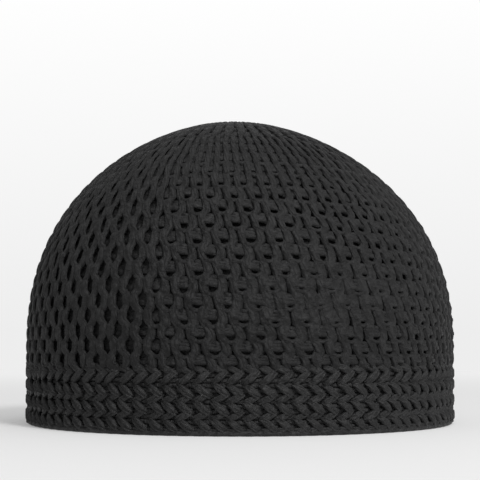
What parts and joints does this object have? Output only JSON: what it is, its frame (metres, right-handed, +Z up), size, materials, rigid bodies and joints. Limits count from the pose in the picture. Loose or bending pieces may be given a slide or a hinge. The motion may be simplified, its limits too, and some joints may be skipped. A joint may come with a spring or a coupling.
{
  "type": "knit cap",
  "caption": "Deep round openwork knit cap with a ridged knitted band, hollow and open below, worn on the head.",
  "frame": {"origin": "middle of the rim's underside, on the surface the cap stands on", "axes": "+Z up through the crown, -Y towards the front of the cap, +X to the right seen from the front"},
  "size_m": [0.174, 0.19, 0.1225],
  "materials": {
    "crown_yarn": "matt charcoal cotton yarn in open staggered cells between wavy doubled ribs",
    "band_yarn": "matt charcoal cotton yarn knitted in four ridges of chevrons"
  },
  "bodies": {
    "root": {"crown": "crown_yarn", "band": "band_yarn"}
  },
  "joints": []
}
